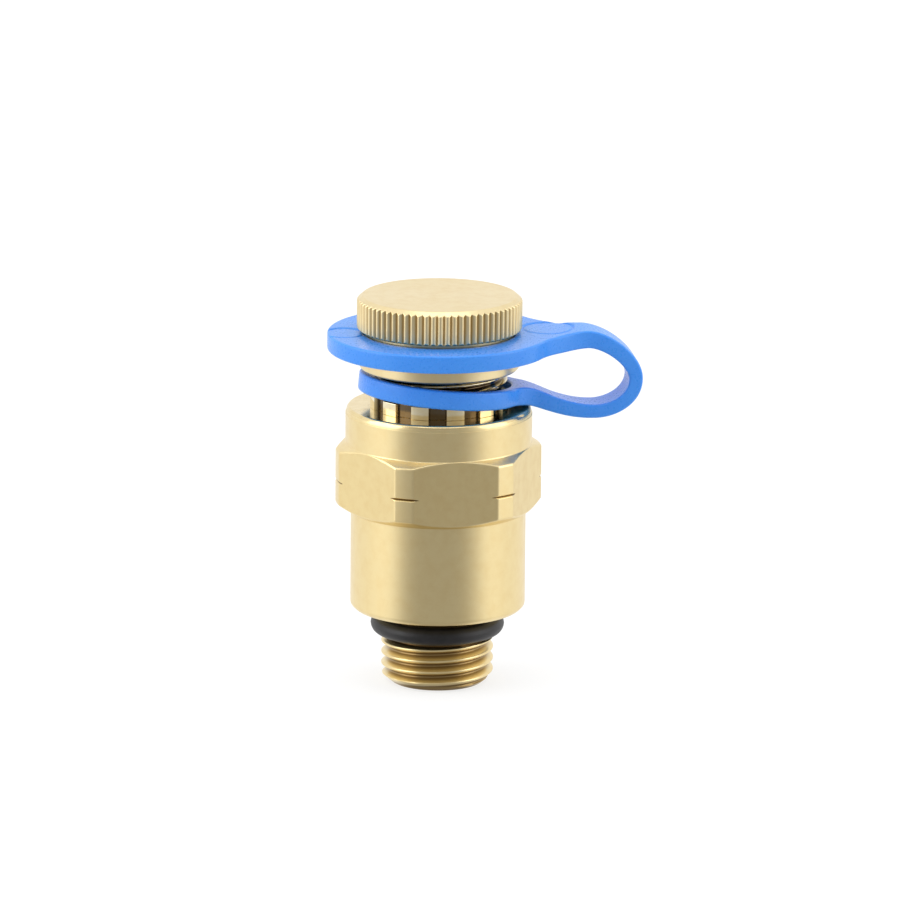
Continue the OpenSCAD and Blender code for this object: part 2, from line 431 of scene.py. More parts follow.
@dataclass(frozen=True)
class Brass:
    """Free-cutting brass as a lathe or a drawing die leaves it: warm metal with fine lines one way."""

    name: str
    colour: str
    dull: str
    roughness: float
    # How much rougher the duller patches are
    roughness_spread: float
    anisotropy: float
    # Distance between tool marks and their depth
    line_pitch: float
    line_depth: float
    # Size of the duller patches
    patch: float
    # Colour of the painted shade in hollows, and how much of it shows
    hollow_shade: str = "#3A2A10"
    hollow_shade_amount: float = 0.0
    # Lines run round the axis on turned faces and along it on drawn ones
    drawn: bool = False

    def make(self) -> bpy.types.Material:
        """Builds the material.

        Returns:
            Metal whose lines are noise of radius and height over the line pitch, so that they run round
            the axis on cylinders and faces alike, or noise of angle and radius on drawn flats.
        """
        material, add = new_material(self.name)
        place = add("TexCoord").outputs["Object"]
        millimetres = add("VectorMath", {0: place, 1: (1 / MM,) * 3}, operation="MULTIPLY").outputs["Vector"]
        across = add(
            "VectorMath", {0: millimetres, 1: (1.0, 1.0, 0.0)}, operation="MULTIPLY"
        ).outputs["Vector"]
        axes = add("SeparateXYZ", {0: millimetres})
        radius = add("VectorMath", {0: across}, operation="LENGTH").outputs["Value"]
        if self.drawn:
            run = add(
                "VectorMath",
                {0: millimetres, 1: (1 / self.line_pitch, 1 / self.line_pitch, DRAWN_RUN)},
                operation="MULTIPLY",
            ).outputs["Vector"]
        else:
            turned = add("CombineXYZ", {"X": radius, "Z": axes.outputs["Z"]})
            run = add(
                "VectorMath",
                {0: turned.outputs["Vector"], 1: (1 / self.line_pitch,) * 3},
                operation="MULTIPLY",
            ).outputs["Vector"]
        lines = add("TexNoise", {"Vector": run, "Scale": 1.0, "Detail": 3.0, "Roughness": 0.6}).outputs["Fac"]
        patches = add(
            "TexNoise", {"Vector": millimetres, "Scale": 1 / self.patch, "Detail": 4.0, "Roughness": 0.55}
        ).outputs["Fac"]
        dullness = add(
            "MapRange", {"Value": patches, "From Min": PATCH_RANGE[0], "From Max": PATCH_RANGE[1]}
        ).outputs["Result"]
        base = add(
            "Mix",
            {"Factor": dullness, MIX_A: linear(self.colour), MIX_B: linear(self.dull)},
            data_type="RGBA",
        ).outputs[MIX_RESULT]
        # Painted shade: hollows darken towards the shade colour by their depth
        if self.hollow_shade_amount > 0:
            hollow = add("Attribute", attribute_name=HOLLOW).outputs["Fac"]
            shade_share = add(
                "MapRange",
                {
                    "Value": hollow,
                    "From Min": HOLLOW_SHADE_RANGE[0],
                    "From Max": HOLLOW_SHADE_RANGE[1],
                    "To Max": self.hollow_shade_amount,
                },
                interpolation_type="SMOOTHSTEP",
            ).outputs["Result"]
            base = add(
                "Mix", {"Factor": shade_share, MIX_A: base, MIX_B: linear(self.hollow_shade)}, data_type="RGBA"
            ).outputs[MIX_RESULT]
        rough = add(
            "MapRange",
            {
                "Value": add("Math", {0: patches, 1: lines}, operation="MULTIPLY").outputs[0],
                "From Min": ROUGH_RANGE[0],
                "From Max": ROUGH_RANGE[1],
                "To Min": self.roughness,
                "To Max": self.roughness + self.roughness_spread,
            },
        ).outputs["Result"]
        bump = add(
            "Bump", {"Height": lines, "Distance": self.line_depth * MM, "Strength": 1.0}
        ).outputs["Normal"]
        tangent = add("Tangent", direction_type="RADIAL", axis="Z").outputs[0]
        shader = add(
            "BsdfPrincipled",
            {
                "Base Color": base,
                "Metallic": 1.0,
                "Roughness": rough,
                "Normal": bump,
                "Anisotropic": self.anisotropy,
                # A quarter turn: the lines spread a highlight across themselves
                "Anisotropic Rotation": 0.0 if self.drawn else 0.25,
                "Tangent": tangent,
            },
        )
        add("OutputMaterial", {"Surface": shader.outputs[0]})
        return material


@dataclass(frozen=True)
class Moulded:
    """Rubber or plastic from a mould: two close colours in soft drifts under the grain of its skin."""

    name: str
    colour: str
    pale: str
    roughness: float
    # How far the roughness falls below and rises above that
    smoother: float
    rougher: float
    ior: float
    # Drifts of the paler colour: how many to a millimetre, how fine, and where in the noise they lie
    drifts: float
    drift_detail: float
    drift_range: tuple[float, float]
    # Size, fineness and depth of the grain
    grain: float
    grain_detail: float
    grain_depth: float
    # Whether the roughness follows the grain; otherwise it follows the drifts
    rough_by_grain: bool = False
    # Share of light that gets in, and how far
    subsurface: float = 0.0
    subsurface_reach: float = 0.6

    def make(self) -> bpy.types.Material:
        """Builds the material."""
        material, add = new_material(self.name)
        place = add("TexCoord").outputs["Object"]
        drift = add(
            "TexNoise", {"Vector": place, "Scale": self.drifts / MM, "Detail": self.drift_detail}
        ).outputs["Fac"]
        grain = add(
            "TexNoise", {"Vector": place, "Scale": 1 / (self.grain * MM), "Detail": self.grain_detail}
        ).outputs["Fac"]
        low, high = self.drift_range
        share = add("MapRange", {"Value": drift, "From Min": low, "From Max": high}).outputs["Result"]
        base = add(
            "Mix", {"Factor": share, MIX_A: linear(self.colour), MIX_B: linear(self.pale)}, data_type="RGBA"
        ).outputs[MIX_RESULT]
        rough = add(
            "MapRange",
            {
                "Value": grain if self.rough_by_grain else drift,
                "To Min": self.roughness - self.smoother,
                "To Max": self.roughness + self.rougher,
            },
        ).outputs["Result"]
        bump = add("Bump", {"Height": grain, "Distance": self.grain_depth * MM}).outputs["Normal"]
        shader = add(
            "BsdfPrincipled",
            {
                "Base Color": base,
                "Roughness": rough,
                "Normal": bump,
                "IOR": self.ior,
                "Subsurface Weight": self.subsurface,
                "Subsurface Radius": (1.0, 1.0, 1.0),
                "Subsurface Scale": self.subsurface_reach * MM,
            },
        )
        add("OutputMaterial", {"Surface": shader.outputs[0]})
        return material


# Black EPDM, compression-moulded: near-black with a soft gloss and a faint bloom
EPDM = Moulded(
    name="EPDM rubber, compression-moulded",
    colour="#141315",
    pale="#242124",
    roughness=0.42,
    smoother=0.08,
    rougher=0.14,
    ior=1.52,
    drifts=0.9,
    drift_detail=5.0,
    drift_range=(0.45, 0.75),
    # The mould's grain is about 0.06 mm, drawn twice as coarse so that it shows
    grain=0.12,
    grain_detail=2.0,
    grain_depth=0.006,
)
# Soft polyethylene, injection-moulded in azure: satin skin, even colour, a little light gets in
POLYETHYLENE = Moulded(
    name="Polyethylene, azure, injection-moulded",
    colour="#3890F8",
    pale="#459AFA",
    roughness=0.27,
    smoother=0.06,
    rougher=0.1,
    ior=1.51,
    drifts=0.25,
    drift_detail=3.0,
    drift_range=(0.0, 1.0),
    # Orange peel of the moulded skin, drawn a little coarser than it is so that it shows
    grain=0.35,
    grain_detail=3.0,
    grain_depth=0.006,
    rough_by_grain=True,
    subsurface=0.06,
)
# Bar turned on an automatic lathe: fine rings round the axis spread the highlights up and down
TURNED_BRASS = Brass(
    name="Brass, fine-turned",
    colour="#F3DEA8",
    dull="#EFD8A0",
    roughness=0.28,
    roughness_spread=0.06,
    anisotropy=0.4,
    # The feed marks are 0.1 mm apart, drawn at 0.2 so that they show
    line_pitch=0.2,
    line_depth=0.0025,
    patch=1.4,
    # Painted shade in the thread's roots and the hexagon's line
    hollow_shade="#6B4716",
    hollow_shade_amount=0.85,
)
# The body's top face and lip, faced off last with a sharp tool, so they mirror the foot and the strap
FACED_BRASS = Brass(
    name="Brass, faced bright",
    colour="#F0DBA6",
    dull="#E9D198",
    roughness=0.13,
    roughness_spread=0.08,
    anisotropy=0.3,
    line_pitch=0.2,
    line_depth=0.001,
    patch=1.4,
)
# Flats that the drawing die left on the hexagon bar: smoother, with faint lines along the bar
DRAWN_BRASS = Brass(
    name="Brass bar, cold-drawn",
    colour="#F0DAA2",
    dull="#EBD39A",
    roughness=0.28,
    roughness_spread=0.06,
    anisotropy=0.2,
    line_pitch=0.3,
    line_depth=0.003,
    patch=1.2,
    drawn=True,
)
# The cap: turned, then knurled with a wheel; painted shade darkens the knurl's grooves, so the ridges look
# brighter than what lies between
KNURLED_BRASS = Brass(
    name="Brass, turned and knurled",
    colour="#F0DDAE",
    dull="#ECD7A6",
    roughness=0.31,
    roughness_spread=0.06,
    anisotropy=0.3,
    line_pitch=0.2,
    line_depth=0.002,
    patch=1.2,
    hollow_shade="#B08736",
    hollow_shade_amount=0.75,
)
# The needle guide: turned bright with a fine feed, so it mirrors what is round it
BRIGHT_BRASS = Brass(
    name="Brass, bright-turned",
    colour="#F6EBCB",
    dull="#EFDDB0",
    roughness=0.1,
    roughness_spread=0.05,
    anisotropy=0.2,
    line_pitch=0.2,
    line_depth=0.001,
    patch=2.0,
    # Painted shade in the neck thread's roots and the foot's notches
    hollow_shade="#3A2410",
    hollow_shade_amount=0.9,
)
# Spacer and washer inside the body: plain turned rings that nobody finishes further
INNER_BRASS = Brass(
    name="Brass ring, plain-turned",
    colour="#E6CC8C",
    dull="#D8BC78",
    roughness=0.32,
    roughness_spread=0.08,
    anisotropy=0.3,
    line_pitch=0.3,
    line_depth=0.004,
    patch=2.0,
)


# ---- Sub-assemblies ----


@dataclass
class ValveBody:
    """The turned body: pipe thread, O-ring seat, barrel, hexagon, collar and the bores inside it."""

    thread: ThreadForm = ThreadForm(
        pitch=1.337,
        crest_r=6.5785,
        root_r=5.72,
        half_angle=27.5,
        # A crest passes 1.11 mm above the end face a quarter turn before angle zero
        phase_z=1.11 + 1.337 / 4,
        rounding=0.16,
    )
    thread_top: float = 5.36
    lead_in: float = 1.0
    lead_in_r: float = 5.4
    seat_r: float = 5.63
    barrel_r: float = 10.25
    barrel_z0: float = 8.96
    barrel_chamfer: float = 0.45
    hex_z0: float = 20.75
    hex_z1: float = 28.83
    hex_flat_r: float = 11.0
    hex_corner_r: float = 12.1
    hex_foot_r: float = 10.4
    hex_turn: float = 3.6
    hex_slope: float = math.tan(math.radians(30))
    line_z: float = 24.46
    line_depth: float = 0.25
    line_w: float = 0.36
    collar_r: float = 10.92
    body_top: float = 33.1
    lip_h: float = 0.76
    lip_in: float = 0.45
    lip_step: float = 0.05
    bore_r: float = 3.0
    bore_chamfer: float = 0.4
    chamber_r: float = 6.0
    chamber_z0: float = 12.0
    socket_r: float = 7.0
    socket_z0: float = 25.5
    # How much painted shade the thread's roots get, next to the full painted shade in the line round the
    # corners
    thread_root_shade: float = 0.8
    rows_per_pitch: int = 22
    # Angles from a flat's middle between which it meets its turned corner, in degrees
    corner_from: float = 23.2
    corner_to: float = 26.0

    def angles(self) -> FloatArray:
        """Angles of the columns, closer where the hexagon's flats meet its turned corners.

        Returns:
            Angles in radians over one turn, the same spacing in each sixth of it.
        """
        half = np.concatenate(
            [
                np.linspace(0, self.corner_from, 13)[:-1],
                np.linspace(self.corner_from, self.corner_to, 9)[:-1],
                np.linspace(self.corner_to, 30.0, 4),
            ]
        )
        sixth = np.concatenate([-half[:0:-1], half[:-1]])
        centres = self.hex_turn + 30 + 60 * np.arange(6)
        return np.radians((centres[:, None] + sixth[None, :]).ravel())

    def hex_radius(self, angles: FloatArray) -> FloatArray:
        """Radius of the hexagon across the axis.

        It is the flat's distance over the cosine of the angle from the flat's middle, cut off smoothly at
        the turned corners.

        Args:
            angles: Angles in radians.

        Returns:
            One radius for each angle.
        """
        from_flat = (np.degrees(angles) - self.hex_turn) % 60 - 30
        flat = self.hex_flat_r / np.cos(np.radians(from_flat))
        return smooth_min(flat, np.full_like(flat, self.hex_corner_r), 0.06)

    def thread_rows(self, angles: FloatArray) -> FloatArray:
        """Rows of the thread, cut off by the cone of its lead-in.

        Args:
            angles: Angles of the columns in radians.

        Returns:
            Radius and height as (row, column, 2).
        """
        count = int(self.rows_per_pitch * self.thread_top / self.thread.pitch)
        height = np.linspace(0, self.thread_top, count + 1)[:, None] + np.zeros_like(angles)
        slope = (self.thread.crest_r - self.lead_in_r) / self.lead_in
        cone = self.lead_in_r + slope * height
        radius = smooth_min(self.thread.radius(angles, height), cone, 0.08)
        return np.stack([radius, height], axis=-1)

    def profile(self, angles: FloatArray) -> FloatArray:
        """The body's whole section, once round from the bore's mouth and back to it.

        Args:
            angles: Angles of the columns in radians.

        Returns:
            Radius and height as (row, column, 2).
        """
        hexagon = self.hex_radius(angles)
        foot_z = self.hex_z0 + (hexagon - self.hex_foot_r) * self.hex_slope
        head_z = self.hex_z1 - (hexagon - self.collar_r) * self.hex_slope
        line_r = self.hex_corner_r - self.line_depth
        share = np.clip((hexagon - line_r) / self.line_depth, 0, 1)
        line_half = self.line_w / 2 * share
        lip = np.radians(np.linspace(0, 90, 7))
        lip_r = self.collar_r - self.lip_step - self.lip_in * (1 - np.cos(lip))
        lip_z = self.body_top - self.lip_h * (1 - np.sin(lip))
        outside = [
            (self.seat_r, self.thread_top, 0.0),
            (self.seat_r, self.barrel_z0, 0.05),
            (self.barrel_r - self.barrel_chamfer, self.barrel_z0, 0.1),
            (self.barrel_r, self.barrel_z0 + self.barrel_chamfer, 0.2),
            (self.barrel_r, self.hex_z0, 0.06),
            (self.hex_foot_r, self.hex_z0, 0.06),
            (hexagon, foot_z, 0.18),
            (hexagon, self.line_z - line_half, 0.05),
            (np.minimum(hexagon, line_r), self.line_z, 0.03),
            (hexagon, self.line_z + line_half, 0.05),
            (hexagon, head_z, 0.18),
            (self.collar_r, self.hex_z1, 0.1),
            (self.collar_r, self.body_top - self.lip_h, 0.04),
            *[(r, z, 0.03) for r, z in zip(lip_r, lip_z)],
            (self.socket_r, self.body_top, 0.0),
            (self.socket_r, self.socket_z0, 0.0),
            (self.chamber_r, self.socket_z0, 0.0),
            (self.chamber_r, self.chamber_z0, 0.0),
            (self.bore_r, self.chamber_z0, 0.0),
            (self.bore_r, self.bore_chamfer, 0.1),
            (self.bore_r + self.bore_chamfer, 0.0, 0.05),
            (self.lead_in_r, 0.0, 0.0),
        ]
        return np.concatenate([self.thread_rows(angles), turned_path(outside, len(angles))])

    def build(self) -> bpy.types.Object:
        """Builds, dresses and mounts the body.

        Returns:
            The finished object, riding on the root.
        """
        angles = self.angles()
        body = make_piece("valve_body_turned", [Patch(revolve(self.profile(angles), angles))])
        place = vertices_of(body)
        radius = np.hypot(place[:, 0], place[:, 1])
        depth = (self.thread.crest_r - radius) / (self.thread.crest_r - self.thread.root_r)
        below = (place[:, 2] < self.barrel_z0) & (place[:, 2] > 0.02)
        in_line = (np.abs(place[:, 2] - self.line_z) < self.line_w / 4) & (radius > self.hex_flat_r)
        # Painted shade: the thread's roots by their depth, and the line round the corners in full
        set_hollow(body, np.where(below, self.thread_root_shade * depth, 1.0 * in_line))
        self.dress(body)
        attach(body, Body.ROOT.value)
        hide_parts("valve_body")
        return body

    def dress(self, body: bpy.types.Object) -> None:
        """Gives the hexagon's flats the drawn finish, the top face a bright one and the rest the turned one.

        A face is a flat where its middle lies in the hexagon's height and its normal points straight at a
        flat's direction.

        Args:
            body: The finished object.
        """
        body.data.materials.append(TURNED_BRASS.make())
        body.data.materials.append(DRAWN_BRASS.make())
        body.data.materials.append(FACED_BRASS.make())
        count = len(body.data.polygons)
        middle, normal = np.empty(count * 3), np.empty(count * 3)
        body.data.polygons.foreach_get("center", middle)
        body.data.polygons.foreach_get("normal", normal)
        middle, normal = middle.reshape(-1, 3) / MM, normal.reshape(-1, 3)
        direction = np.degrees(np.arctan2(normal[:, 1], normal[:, 0]))
        from_flat = np.abs((direction - self.hex_turn) % 60 - 30)
        reach = np.hypot(middle[:, 0], middle[:, 1])
        flat = (from_flat < 2) & (np.abs(normal[:, 2]) < 0.05) & (reach > self.hex_flat_r - 0.02)
        flat &= (middle[:, 2] > self.hex_z0) & (middle[:, 2] < self.hex_z1)
        top = middle[:, 2] > self.body_top - self.lip_h / 2
        body.data.polygons.foreach_set("material_index", np.select([flat, top], [1, 2], 0).astype(np.int32))


@dataclass
class ORing:
    """The O-ring in its seat, with the fine flash line of its mould."""

    middle_r: float = 6.75
    middle_z: float = 6.9
    section_r: float = 1.1
    # Height of the flash line, and the sine of the angle over which it falls away
    flash: float = 0.02
    flash_reach: float = 0.07

    def build(self) -> bpy.types.Object:
        """Builds, dresses and mounts the O-ring.

        The section is a circle: radius middle_r + s cos b, height middle_z + s sin b, where s is the
        section's radius and falls by the flash's height away from the mould line round its waist.

        Returns:
            The finished object, riding on the root.
        """
        angles = np.linspace(0, FULL_TURN, 192, endpoint=False)
        turn = np.linspace(0, FULL_TURN, 48, endpoint=False)
        waist = np.exp(-((np.sin(turn) / self.flash_reach) ** 2))
        reach = self.section_r - self.flash * (1 - waist)
        section = np.stack([self.middle_r + reach * np.cos(turn), self.middle_z + reach * np.sin(turn)], -1)
        section = np.concatenate([section, section[:1]])
        profile = np.broadcast_to(section[:, None, :], (len(section), len(angles), 2))
        ring = make_piece("thread_o_ring_moulded", [Patch(revolve(profile, angles))])
        ring.data.materials.append(RUBBER)
        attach(ring, Body.ROOT.value)
        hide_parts("thread_o_ring")
        return ring


# M16 x 1 of the neck; the cap's inner thread has the same phase, so the two mesh at every turn
NECK_THREAD = ThreadForm(pitch=1.0, crest_r=8.0, root_r=7.39, half_angle=30, phase_z=0.35, rounding=0.07)
CAP_THREAD = ThreadForm(
    pitch=1.0, crest_r=8.07, root_r=7.5, half_angle=30, phase_z=0.35, rounding=0.06, play=0.09
)


@dataclass
class NeedleGuide:
    """The bright insert: shank in the body, foot on its top face, M16 x 1 neck and needle hole."""

    hole_r: float = 1.8
    nose_r: float = 5.95
    nose_z0: float = 25.0
    shank_r: float = 6.98
    shank_z0: float = 26.0
    foot_r: float = 8.1
    foot_z0: float = 33.1
    foot_z1: float = 34.7
    # Notches round the foot for a hook spanner
    notches: int = 12
    notch_turn: float = 22.0
    notch_half: float = 1.0
    notch_depth: float = 0.5
    relief_r: float = 7.3
    relief_top: float = 35.7
    top: float = 43.1
    chamfer: float = 0.6
    cone: float = 1.3
    rows_per_pitch: int = 18

    def angles(self) -> FloatArray:
        """Angles of the columns, closer at the sides of the notches."""
        side = math.degrees(self.notch_half / self.foot_r)
        near = side + np.array([-1.6, -0.5, -0.15, 0.15, 0.5, 1.6])
        half = np.concatenate([[0.0, side / 2], near, [side + 3.4, 180 / self.notches]])
        one = np.concatenate([-half[1:-1][::-1], half])
        centres = self.notch_turn + 360 / self.notches * np.arange(self.notches)
        return np.radians((centres[:, None] + one).ravel())

    def foot_radius(self, angles: FloatArray) -> FloatArray:
        """Radius of the foot: its own, and less by the notches' depth where a notch is.

        Args:
            angles: Angles in radians.

        Returns:
            One radius for each angle.
        """
        pitch = FULL_TURN / self.notches
        away = (angles - math.radians(self.notch_turn) + pitch / 2) % pitch - pitch / 2
        side = self.foot_r * np.abs(away) - self.notch_half
        return self.foot_r - self.notch_depth * (1 - smooth_step(side, -0.08, 0.08))

    def build(self) -> bpy.types.Object:
        """Builds, dresses and mounts the guide.

        Returns:
            The finished object, riding on the root.
        """
        angles = self.angles()
        foot_r = self.foot_radius(angles)
        count = int((self.top - self.relief_top) * self.rows_per_pitch)
        height = np.linspace(self.relief_top, self.top, count + 1)[:, None] + np.zeros_like(angles)
        run_out = self.relief_r + (height - self.relief_top)
        point = NECK_THREAD.crest_r - self.chamfer + (self.top - height)
        neck = np.minimum(NECK_THREAD.radius(angles, height), np.minimum(run_out, point))
        below = [
            (self.hole_r, self.nose_z0, 0.0),
            (self.nose_r, self.nose_z0, 0.1),
            (self.nose_r, self.shank_z0, 0.0),
            (self.shank_r, self.shank_z0, 0.1),
            (self.shank_r, self.foot_z0, 0.0),
            (foot_r, self.foot_z0, 0.05),
            (foot_r, self.foot_z1, 0.12),
            (self.relief_r, self.foot_z1, 0.1),
            (self.relief_r, self.relief_top, 0.0),
        ]
        above = [
            (NECK_THREAD.crest_r - self.chamfer, self.top, 0.0),
            (self.hole_r + self.cone, self.top, 0.08),
            (self.hole_r, self.top - self.cone, 0.1),
            (self.hole_r, self.nose_z0, 0.0),
        ]
        parts = [
            turned_path(below, len(angles)),
            np.stack([neck, height], axis=-1),
            turned_path(above, len(angles)),
        ]
        guide = make_piece("needle_guide_turned", [Patch(revolve(np.concatenate(parts), angles))])
        place = vertices_of(guide)
        radius = np.hypot(place[:, 0], place[:, 1])
        notch = (radius - self.foot_r + self.notch_depth) / self.notch_depth
        on_foot = (place[:, 2] > self.foot_z0 + 0.02) & (place[:, 2] < self.foot_z1 - 0.02)
        thread = (NECK_THREAD.crest_r - radius) / (NECK_THREAD.crest_r - NECK_THREAD.root_r)
        on_neck = (place[:, 2] > self.foot_z1) & (place[:, 2] < self.top - self.chamfer) & (radius > 7)
        # Painted shade in the foot's notches and the neck thread's roots
        set_hollow(guide, np.select([on_foot, on_neck], [1 - notch, np.sqrt(np.clip(thread, 0, 1))], 0.0))
        guide.data.materials.append(BRIGHT_BRASS.make())
        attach(guide, Body.ROOT.value)
        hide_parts("needle_guide")
        return guide


@dataclass
class Cap:
    """The cap: knurled head, groove for the strap's ring, flange, and the thread inside."""

    face_r: float = 9.0
    top: float = 46.3
    rim_drop: float = 0.55
    knurl_r: float = 9.65
    knurl_depth: float = 0.25
    ridges: int = 72
    # Share of the pitch that a flank takes, and how softly it ends
    knurl_flank: float = 0.4
    knurl_blend: float = 0.25
    # Angle of the bottom of one groove of the knurl, in degrees
    knurl_turn: float = 1.2
    rim_z: float = 42.28
    rim_chamfer: float = 0.25
    groove_r: float = 8.75
    flange_r: float = 9.35
    flange_z: float = 39.85
    flange_round: float = 0.6
    bottom: float = 37.7
    bore_r: float = 8.12
    thread_top: float = 42.9
    ceiling: float = 44.6
    rows_per_pitch: int = 14

    def angles(self) -> FloatArray:
        """Angles of the columns: eight to each ridge, closer at the bottom of a groove and at its edges."""
        within = np.array([0.0, 0.13, 0.28, 0.4, 0.5, 0.6, 0.72, 0.87])
        grid = (np.arange(self.ridges)[:, None] + within[None, :]).ravel()
        return np.radians(self.knurl_turn) + grid * FULL_TURN / self.ridges

    def knurl(self, angles: FloatArray) -> FloatArray:
        """Radius of the knurled head.

        With d the distance from the nearest groove as a share of the pitch, the radius rises in a straight
        line from the groove's bottom to the ridge's top at the flank's share, where it is blended.

        Args:
            angles: Angles in radians.

        Returns:
            One radius for each angle.
        """
        turns = (angles - math.radians(self.knurl_turn)) * self.ridges / FULL_TURN
        distance = np.abs(turns - np.round(turns))
        rise = smooth_min(distance / self.knurl_flank, np.ones_like(distance), self.knurl_blend)
        return self.knurl_r - self.knurl_depth * (1 - rise)

    def inner_thread(self, angles: FloatArray) -> FloatArray:
        """Rows of the inner thread from the mouth upwards, opened by the cone of the mouth.

        Args:
            angles: Angles of the columns in radians.

        Returns:
            Radius and height as (row, column, 2).
        """
        start = self.bottom + 0.3
        count = int((self.thread_top - start) * self.rows_per_pitch)
        height = np.linspace(start, self.thread_top, count + 1)[:, None] + np.zeros_like(angles)
        mouth = self.bore_r + 0.1 - (height - start)
        recess = self.bore_r - 2 * (self.thread_top - height)
        radius = np.maximum(CAP_THREAD.radius(angles, height), np.maximum(mouth, recess))
        return np.stack([radius, height], axis=-1)

    def build(self) -> bpy.types.Object:
        """Builds, dresses and mounts the cap.

        Returns:
            The finished object, riding on the cap's body.
        """
        angles = self.angles()
        knurl = self.knurl(angles)
        lean = self.rim_drop / (self.knurl_r - self.face_r)
        outside = [
            (0.0, self.top, 0.0),
            (self.face_r, self.top, 0.12),
            (knurl, self.top - (knurl - self.face_r) * lean, 0.1),
            (knurl, self.rim_z + self.rim_chamfer - (self.knurl_r - knurl), 0.08),
            (self.knurl_r - self.rim_chamfer - 0.1, self.rim_z, 0.04),
            (self.groove_r, self.rim_z, 0.1),
            (self.groove_r, self.flange_z, 0.1),
            (self.flange_r, self.flange_z, self.flange_round),
            (self.flange_r, self.bottom + self.rim_chamfer, 0.1),
            (self.flange_r - self.rim_chamfer, self.bottom, 0.08),
            (self.bore_r + 0.4, self.bottom, 0.05),
        ]
        inside = [
            (self.bore_r, self.thread_top, 0.0), (self.bore_r, self.ceiling, 0.1), (0.0, self.ceiling, 0.0)
        ]
        parts = [
            turned_path(outside, len(angles)), self.inner_thread(angles), turned_path(inside, len(angles))
        ]
        cap = make_piece("cap_knurled", [Patch(revolve(np.concatenate(parts), angles))])
        place = vertices_of(cap)
        radius = np.hypot(place[:, 0], place[:, 1])
        bevel_z = self.top - (radius - self.face_r) * lean
        head = (place[:, 2] > self.rim_z + 0.02) & (place[:, 2] < bevel_z - 0.06) & (radius > self.face_r)
        # Painted shade in the knurl's grooves, by their depth
        set_hollow(cap, np.where(head, (self.knurl_r - radius) / self.knurl_depth, 0.0))
        cap.data.materials.append(KNURLED_BRASS.make())
        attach(cap, Body.CAP.value)
        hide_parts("cap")
        return cap


@dataclass(frozen=True)
class Station:
    """A point on the middle line of the strap, seen from the side."""

    x: float
    z: float
    heading: float
    thickness: float
    fullness: float = 0.35


@dataclass(frozen=True)
class StrapRing:
    """One ring of the strap in plan: its hole, its rim, and the arcs that fill the corners at the strap."""

    middle_z: float
    hole_r: float
    rim_r: float
    thickness: float
    root_r: float
    # How the ring leans, in degrees: down towards the loop, and up towards -Y
    tilt: float = 0.0
    roll: float = 0.0
    strap_half: float = 2.25
    # Grid: rows across the ring and along its root, columns along each side and round the back, which
    # lies opposite the root, and half the angle of that back
    flat_rows: int = 8
    root_rows: int = 34
    side_columns: int = 80
    back_columns: int = 16
    back_angle: float = 0.24

    @property
    def reach(self) -> float:
        """Distance from the ring's middle to where the strap's sides run straight."""
        rise = self.strap_half + self.root_r
        return math.sqrt((self.rim_r + self.root_r) ** 2 - rise**2)

    @property
    def corner(self) -> float:
        """Angle at which the rim turns into a filling arc, in radians."""
        return math.atan2(self.strap_half + self.root_r, self.reach)

    @property
    def lean(self) -> tuple[float, float]:
        """How much the ring's middle plane falls per millimetre along X and along Y."""
        return math.tan(math.radians(self.tilt)), math.tan(math.radians(self.roll))

    def height(self, x: Any, y: Any = 0.0) -> Any:
        """Height of the ring's middle plane over a point in plan."""
        return self.middle_z - self.lean[0] * x - self.lean[1] * y

    def half_width(self, x: FloatArray) -> FloatArray:
        """Half the strap's width at a distance x from the ring's middle: along the arc, then straight."""
        off = np.clip(self.reach - x, 0, self.root_r)
        return self.strap_half + self.root_r - np.sqrt(self.root_r**2 - off**2)

    def edge_distance(self, x: FloatArray, y: FloatArray) -> FloatArray:
        """Distance of a point of the strap's root or the ring from the outer edge.

        Beyond the reach it is the half width less the distance from the middle line; within the corners'
        angle it is the distance from the filling arc's middle less its radius; elsewhere it is the rim's
        radius less the distance from the ring's middle.

        Args:
            x: Distances from the ring's middle along the strap.
            y: Distances from the strap's middle line.

        Returns:
            Distances, 0 on the edge.
        """
        side = np.abs(y)
        straight = self.strap_half - side
        arc = np.hypot(x - self.reach, side - self.strap_half - self.root_r) - self.root_r
        rim = self.rim_r - np.hypot(x, y)
        in_root = np.arctan2(side, x) < self.corner
        return np.where(x > self.reach, straight, np.where(in_root, arc, rim))


@dataclass(frozen=True)
class Mark:
    """A round witness line that an ejector pin of the mould leaves, with a slight recess inside it."""

    x: float
    y: float
    radius: float
    line_depth: float = 0.17
    line_half: float = 0.17
    depth: float = 0.05

    def recess(self, x: FloatArray, y: FloatArray) -> FloatArray:
        """Depth of the mark: a bell curve of the distance from the line, and a step inside the line."""
        off = np.hypot(x - self.x, y - self.y) - self.radius
        inside = 1 - smooth_step(off, -self.line_half, self.line_half)
        return self.line_depth * np.exp(-((off / self.line_half) ** 2)) + self.depth * inside


